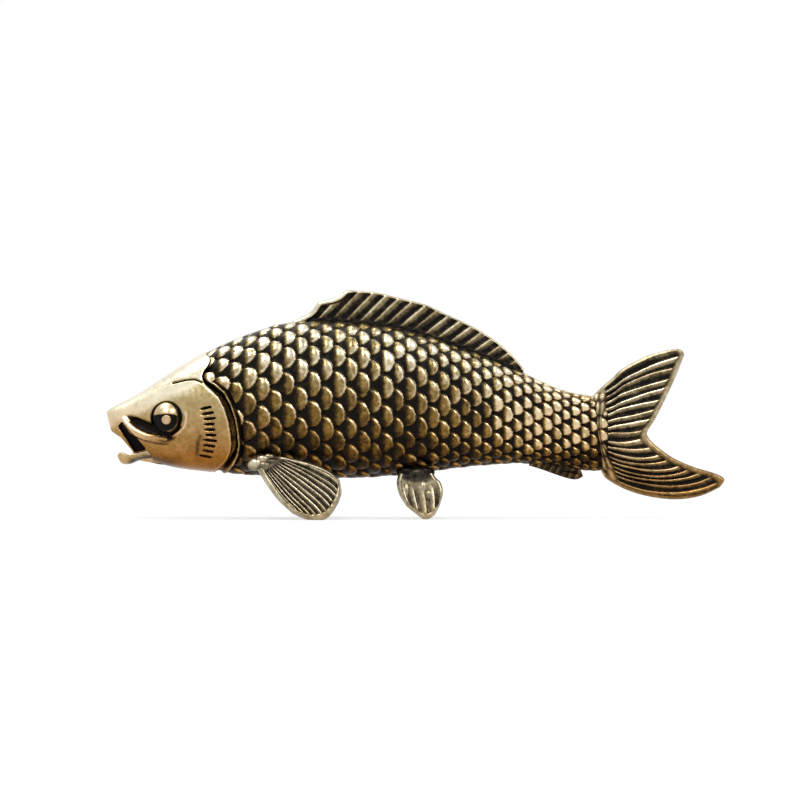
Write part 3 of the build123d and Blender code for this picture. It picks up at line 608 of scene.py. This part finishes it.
def quarter_round(inward, radius):
    """Rounding of a fin's edge: 0 at the edge and 1 a radius inside it."""
    near = 1 - np.clip(inward / radius, 0, 1)
    return np.sqrt(np.clip(1 - near * near, 0, 1))


def upright(flat_fin, aside):
    """Lays a fin in the fish's middle plane."""
    return np.stack([flat_fin[:, 0], aside, flat_fin[:, 1]], axis=1)


def fin_rays(phase):
    """Relief from 0 to 1 and wear of rays that lie side by side.

    Each ray has a bright line, a brown flank and a dark web.
    """
    ray = np.floor(phase)
    part = phase - ray
    chance = np.mod(np.sin(ray * 7.3) * 91.7, 1.0)
    relief = step(0.0, 0.28, part) * (1 - step(0.40, 1.0, part))
    flank = step(0.04, 0.25, part) * (1 - step(0.55, 0.88, part))
    line = np.exp(-((part - 0.27) / 0.11) ** 2)
    return relief, 0.05 + flank * (0.30 + 0.16 * chance) + line * (0.28 + 0.28 * chance)


tail_rays = 18


def tail_shape(u, v, inward, place):
    """Rays and rim of the tail, with two rows of beads over its swollen root."""
    bent = u + 0.005 * np.sin(5 * v + 2.4 * np.floor(u * tail_rays)) * step(0.1, 0.4, v)
    relief, rayed_worn = fin_rays(tail_rays * bent)
    trailing = (1 - v) * (4.5 + 12 * np.abs(u - 0.5))
    rim = np.maximum(1 - step(0.20, 0.42, inward), 1 - step(0.30, 0.85, trailing))
    lobe = step(0.42, 0.62, u)
    beads = np.zeros_like(u)
    for row, count, shift in ((0.040, 6.0, 0.4), (0.125, 7.0, 0.0)):
        round_bead = np.sqrt(np.clip(np.cos(pi * (np.mod(u * count + shift, 1) - 0.5)), 0, 1))
        away = v - row - 0.016 * np.sin(2.6 * np.floor(u * count + shift))
        beads = np.maximum(beads, np.exp(-(away / 0.040) ** 2) * round_bead)
    rayed = step(0.13, 0.20, v) * (1 - rim)
    girth = np.sqrt(np.clip(1 - ((place[:, 1] - 8.1) / 3.9) ** 2, 0, 1))
    half = quarter_round(inward, 0.42) * (0.60 - 0.12 * v + 0.20 * rayed * (relief - 1))
    swell = step(-0.03, 0.07, v) * (1 - step(0.03, 0.24, v))
    half = half + girth * (0.85 * swell + 0.30 * beads)
    worn = np.maximum(rayed * rayed_worn * (1.12 - 0.08 * lobe), rim * (0.72 - 0.14 * lobe))
    return half, np.clip(np.maximum(worn, 0.85 * beads), 0, 1)


fin_brass = antique_brass(
    "fin_brass", pale=(0.70, 0.62, 0.45), gold=(0.31, 0.24, 0.125), brown=(0.05, 0.036, 0.018),
    mottle=0.5, warm_reflection_tint=(0.88, 0.60, 0.33), warm_reflection_heights=(3.0, 10.0))
tail_reach, tail_span = 11.4, 14.6
tail_root = np.array((snout_x + body_length, belly_height + body_depth * 0.257))


def tail_places(shares):
    """Places in the side view from shares of the tail's reach and span."""
    return [tail_root + np.array((tail_reach * x, tail_span * z)) for x, z in shares]


tail = fin_sheet(
    "tail_casting",
    tail_places([(-0.133, 0.275), (-0.100, 0.10), (-0.070, -0.06), (-0.060, -0.215)]),
    tail_places([(-0.133, 0.275), (-0.040, 0.345), (0.040, 0.398), (0.128, 0.460), (0.324, 0.540),
                 (0.480, 0.578), (0.580, 0.592)]),
    tail_places([(-0.060, -0.215), (-0.009, -0.273), (0.162, -0.347), (0.366, -0.393),
                 (0.588, -0.410), (0.792, -0.387), (0.955, -0.330)]),
    tail_places([(0.580, 0.592), (0.630, 0.582), (0.652, 0.555), (0.638, 0.520), (0.554, 0.360),
                 (0.417, 0.140), (0.345, 0.050), (0.345, 0.008), (0.417, -0.053), (0.554, -0.130),
                 (0.724, -0.190), (0.894, -0.230), (0.975, -0.258), (0.995, -0.285), (0.955, -0.330)]),
    across=330, out=90, shape=tail_shape, lay=upright)
tail.data.materials.append(fin_brass)
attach(tail, "root")
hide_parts("tail_fin")


# Dorsal fin: a long low casting along the back, held by a tenon. Leaning rays stand between dark webs
# under a thin bright crest, and its front edge is thick and curled.
def back_line(share, lift):
    """Places on the back at shares of the body's length, lifted in millimetres."""
    place = stations_at(share)
    points = body_skin(place, np.full(len(place), pi / 2), np.zeros(len(place)))
    return np.stack([points[:, 0], points[:, 2] + lift], axis=1)


dorsal_start, dorsal_length = 0.392, 0.440


def dorsal_places(rows):
    """Places in the side view from shares of the fin's foot and heights in millimetres."""
    foot, heights = np.array(rows, dtype=float).T
    return back_line(dorsal_start + dorsal_length * foot, heights)


dorsal_front = dorsal_places([(-0.06, -0.6), (-0.05, 0.0), (0.0, 0.36), (0.038, 0.81), (0.070, 1.68),
                              (0.125, 1.98), (0.165, 2.40), (0.195, 2.91)])
dorsal_crest = dorsal_places([(0.195, 2.91), (0.240, 2.97), (0.335, 2.94), (0.445, 2.76), (0.555, 2.79),
                              (0.625, 2.58), (0.720, 2.40), (0.805, 2.16), (0.880, 1.74),
                              (0.950, 1.08), (1.0, 0.3)])


def dorsal_shape(u, v, inward, place):
    """Leaning rays under a thin crest, and the thick curled front edge."""
    x, z = place.T
    back = back_line(np.linspace(0.30, 0.90, 300), 0)
    high = z - np.interp(x, back[:, 0], back[:, 1])
    share = (x - 0.9 * np.maximum(high, 0) + 10.95) / 21.4
    relief, rayed_worn = fin_rays(-62.9 * np.log(1 - 0.241 * np.clip(share, -0.5, 1.2)) + 0.2)
    along = np.linspace(0, 1, 90)
    outline = np.concatenate([along_curve(dorsal_front, along), along_curve(dorsal_crest, along)[1:]])
    inward = near_line(outline, x, z)
    curl = 1 - step(-7.4, -5.6, x)
    crest = 1 - step(0.10 + 0.25 * curl, 0.24 + 0.40 * curl, inward)
    rayed = step(-0.10, 0.25, high) * (1 - crest)
    half = 0.46 - 0.12 * v + 0.20 * rayed * (relief - 1) + 0.22 * curl * crest
    worn = rayed * rayed_worn * (0.55 + 0.45 * step(0.0, 1.2, high))
    worn = np.maximum(worn, crest * (0.80 + 0.20 * curl))
    return quarter_round(inward, 0.24) * half, np.clip(worn, 0, 1)


dorsal = fin_sheet(
    "dorsal_casting",
    dorsal_places([(share, -0.6) for share in np.linspace(-0.06, 1, 12)]),
    dorsal_front,
    dorsal_places([(1.0, -0.6), (1.0, 0.1), (1.0, 0.3)]),
    dorsal_crest,
    across=420, out=64, shape=dorsal_shape, lay=upright)
dorsal.data.materials.append(fin_brass)
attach(dorsal, "root")
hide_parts("dorsal_fin")


# Anal fin: a low brass casting folded back along the belly and held by a tenon. It lies under the body,
# and painted shade keeps it dark all over, with black patina in the webs and only the rays a little
# brighter.
anal = recast("anal_fin", "anal_casting", 0.06, 3)
x, y, z = mesh_points(anal.data)[0].T
ray_pitch = 0.7
# Painted shade: the whole fin is kept dark, and only its rays are a little brighter.
paint_wear_and_light(anal.data, 0.12 + 0.4 * fin_rays((x - 0.5 * z) / ray_pitch)[1])
anal.data.materials.append(fin_brass)
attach(anal, "root")
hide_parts("anal_fin")


# Pectoral and pelvic fins: paddles splayed out to both sides, pegged into the belly. The fish stands
# on their tips. Each has a thick smooth front edge and fine rays that fan out from its root.
def splayed(x, stand_off, top, splay, way):
    """Lays a fin on a plane that hangs from a height and splays out to the left (-1) or right (1)."""
    lean = radians(splay)

    def lay(flat_fin, aside):
        down = flat_fin[:, 1] / cos(lean)
        out = stand_off + down * sin(lean) + aside * -cos(lean)
        z = top - down * cos(lean) - aside * sin(lean)
        return np.stack([x + flat_fin[:, 0], way * out, np.maximum(z, 0.0)], axis=1)

    return lay


def paddle_shape(rays, rim_width, half_thick, glow, bare):
    """Shape of a paddle with fanned rays inside a rounded rim.

    glow is the wear between the rays, and bare is the share of its length from the root without rays.
    """

    def shape(u, v, inward, place):
        bent = 1 - u + 0.012 * np.sin(3.1 * np.floor(u * rays)) + 0.008 * np.sin(5 * v + 9 * u)
        relief, rayed_worn = fin_rays(rays * bent)
        rim = 1 - step(rim_width * 0.5, rim_width * 1.2, inward)
        rim = np.maximum(rim, (1 - step(0.05, 0.14, u)) * step(0.1, 0.3, v))
        # Dark root: black patina at the join, reaching further down on the pelvic fins, with their larger
        # bare share, as painted shade under the belly.
        root = 1 - step(0.08 + 0.3 * bare, 0.24 + 0.4 * bare, v)
        face = (1 - rim) * (1 - root)
        rayed = face * step(bare, bare + 0.22, v)
        half = quarter_round(inward, 0.40) * (half_thick + 0.20 * rayed * (relief - 1))
        half = half * (0.4 + 0.6 * step(0.0, 0.16, v))
        worn = face * 0.55 + rayed * (glow + (1 - glow) * rayed_worn - 0.55)
        worn = np.maximum(worn, 0.75 * rim)
        return half, np.clip(np.maximum(worn, (0.30 - 0.35 * bare) * root), 0, 1)

    return shape


paddle_brass = antique_brass(
    "paddle_brass", pale=(0.72, 0.65, 0.49), gold=(0.28, 0.23, 0.14), brown=(0.05, 0.040, 0.025),
    mottle=0.5, warm_reflection_tint=(1.0, 0.88, 0.70), warm_reflection_heights=(0.0, 2.0))


def paddle_places(size, shares):
    """Places on a flat paddle, along and down, from shares of its size."""
    return [(size[0] * x, size[1] * z) for x, z in shares]


pectoral_size, pelvic_size = (8.16, 6.20), (4.5, 4.42)
pectoral_x = snout_x + body_length * 0.300
pelvic_x = snout_x + body_length * 0.5785
pectoral_knuckles = [
    (-0.10, 0.85, 0.75, 0.58, 0.68, 0.95), (0.60, 0.45, 0.75, 0.45, 0.64, 0.85),
    (1.20, 0.25, 0.70, 0.36, 0.60, 0.65), (0.75, 1.05, 0.75, 0.45, 0.60, 0.5),
    (1.50, 0.75, 0.80, 0.32, 0.60, 0.4),
]
# The knuckles at the top of the pelvic neck are kept dark as painted shade under the belly.
pelvic_knuckles = [
    (1.00, -0.05, 1.05, 0.55, 0.66, 0.10), (2.05, 0.10, 1.20, 0.66, 0.72, 0.20),
    (2.85, -0.05, 0.85, 0.55, 0.66, 0.12), (2.55, 1.35, 0.50, 0.75, 0.60, 0.75),
    (3.15, 2.10, 0.60, 0.60, 0.58, 0.60), (0.95, 1.60, 0.40, 0.95, 0.56, 0.75),
]
for side, way in (("left", -1), ("right", 1)):
    pectoral = fin_sheet(
        f"{side}_pectoral_casting",
        paddle_places(pectoral_size, [(0.000, 0.18), (0.10, 0.08), (0.214, 0.00)]),
        paddle_places(pectoral_size, [(0.000, 0.18), (0.107, 0.41), (0.262, 0.68), (0.429, 0.87)]),
        paddle_places(pectoral_size, [(0.214, 0.00), (0.393, 0.05), (0.655, 0.13), (0.881, 0.26),
                                      (0.975, 0.41)]),
        paddle_places(pectoral_size, [(0.429, 0.87), (0.595, 0.97), (0.726, 1.00), (0.857, 0.95),
                                      (0.952, 0.79), (1.000, 0.60), (0.975, 0.41)]),
        across=190, out=90, lumps=pectoral_knuckles,
        shape=paddle_shape(rays=13, rim_width=0.55, half_thick=0.55, glow=0.14, bare=0.02),
        lay=splayed(pectoral_x, stand_off=3.75, top=6.17, splay=26.0, way=way))
    pectoral.data.materials.append(paddle_brass)
    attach(pectoral, "root")
    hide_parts(f"{side}_pectoral_fin")

    pelvic = fin_sheet(
        f"{side}_pelvic_casting",
        paddle_places(pelvic_size, [(0.055, -0.14), (0.42, -0.16), (0.785, -0.14)]),
        paddle_places(pelvic_size, [(0.055, -0.14), (0.03, 0.05), (0.000, 0.22), (0.055, 0.46),
                                    (0.204, 0.70)]),
        paddle_places(pelvic_size, [(0.785, -0.14), (0.79, 0.0), (0.850, 0.11), (0.957, 0.22),
                                    (1.000, 0.42), (0.935, 0.68)]),
        paddle_places(pelvic_size, [(0.204, 0.70), (0.420, 0.88), (0.613, 1.00), (0.806, 0.91),
                                    (0.935, 0.68)]),
        across=130, out=70, lumps=pelvic_knuckles,
        shape=paddle_shape(rays=5, rim_width=0.50, half_thick=0.5, glow=0.26, bare=0.40),
        lay=splayed(pelvic_x, stand_off=2.2, top=4.42, splay=20.0, way=way))
    pelvic.data.materials.append(paddle_brass)
    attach(pelvic, "root")
    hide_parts(f"{side}_pelvic_fin")


# Studio: a white sheet of card under the fish, a white surround and three soft lamps overhead. The camera
# looks level at the fish's left side, with the photograph's frame.
table = bmesh.new()
bmesh.ops.create_grid(table, x_segments=1, y_segments=1, size=1.5)
floor_mesh = bpy.data.meshes.new("floor")
table.to_mesh(floor_mesh)
table.free()
floor = bpy.data.objects.new("floor", floor_mesh)
bpy.context.collection.objects.link(floor)


def seen_directly(tree):
    """1 where the camera, a reflection or a look through glass meets the surface, and 0 for other light."""
    path = tree.nodes.new("ShaderNodeLightPath")
    rays = ("Is Camera Ray", "Is Glossy Ray", "Is Transmission Ray")
    sight = [Finish(tree, path.outputs[ray]) for ray in rays]
    return sight[0].maths("MINIMUM", sight[0] + sight[1] + sight[2], 1.0)


card = bpy.data.materials.new("white_card")
card.use_nodes = True
tree = card.node_tree
paper = tree.nodes["Principled BSDF"]
paper.inputs["Base Color"].default_value = (0.9, 0.9, 0.9, 1)
paper.inputs["Roughness"].default_value = 0.9
glow = tree.nodes.new("ShaderNodeEmission")
blend = tree.nodes.new("ShaderNodeMixShader")
tree.links.new((seen_directly(tree) * 0.7).socket, blend.inputs["Fac"])
tree.links.new(paper.outputs[0], blend.inputs[1])
tree.links.new(glow.outputs[0], blend.inputs[2])
tree.links.new(blend.outputs[0], tree.nodes["Material Output"].inputs["Surface"])
floor_mesh.materials.append(card)
floor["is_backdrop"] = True

world = bpy.data.worlds.new("white_surround")
bpy.context.scene.world = world
world.use_nodes = True
tree = world.node_tree
air = tree.nodes["Background"]
air.inputs["Color"].default_value = (1, 1, 1, 1)
tree.links.new((0.45 + seen_directly(tree) * 0.55).socket, air.inputs["Strength"])


def soft_lamp(name, direction, spread, strength):
    """Wide far lamp that shines from a direction."""
    lamp = bpy.data.lights.new(name, "SUN")
    lamp.angle = radians(spread)
    lamp.energy = strength
    box = bpy.data.objects.new(name, lamp)
    box.rotation_euler = Vector(direction).to_track_quat("Z", "Y").to_euler()
    bpy.context.collection.objects.link(box)


soft_lamp("front_lamp", (-0.15, -0.50, 0.86), 25.0, 1.5)
soft_lamp("overhead_lamp", (-0.25, 0.25, 0.93), 40.0, 1.4)
soft_lamp("tail_lamp", (0.65, -0.30, 0.75), 26.0, 0.8)

bpy.context.scene.view_settings.view_transform = "Standard"
photo_size = 800
photo_scale = 60.0 / 618.0
fish_middle_px, fish_floor_px = 416, 518.5
distance = 0.5
lens = bpy.data.cameras.new("photo_camera")
lens.sensor_width = 36.0
lens.lens = lens.sensor_width * distance / (photo_size * photo_scale * mm)
lens.clip_start = 0.01
camera = bpy.data.objects.new("photo_camera", lens)
camera.location = ((photo_size / 2 - fish_middle_px) * photo_scale * mm, -distance,
                   (fish_floor_px - photo_size / 2) * photo_scale * mm)
camera.rotation_euler = (pi / 2, 0, 0)
bpy.context.collection.objects.link(camera)
bpy.context.scene.camera = camera

low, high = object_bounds()
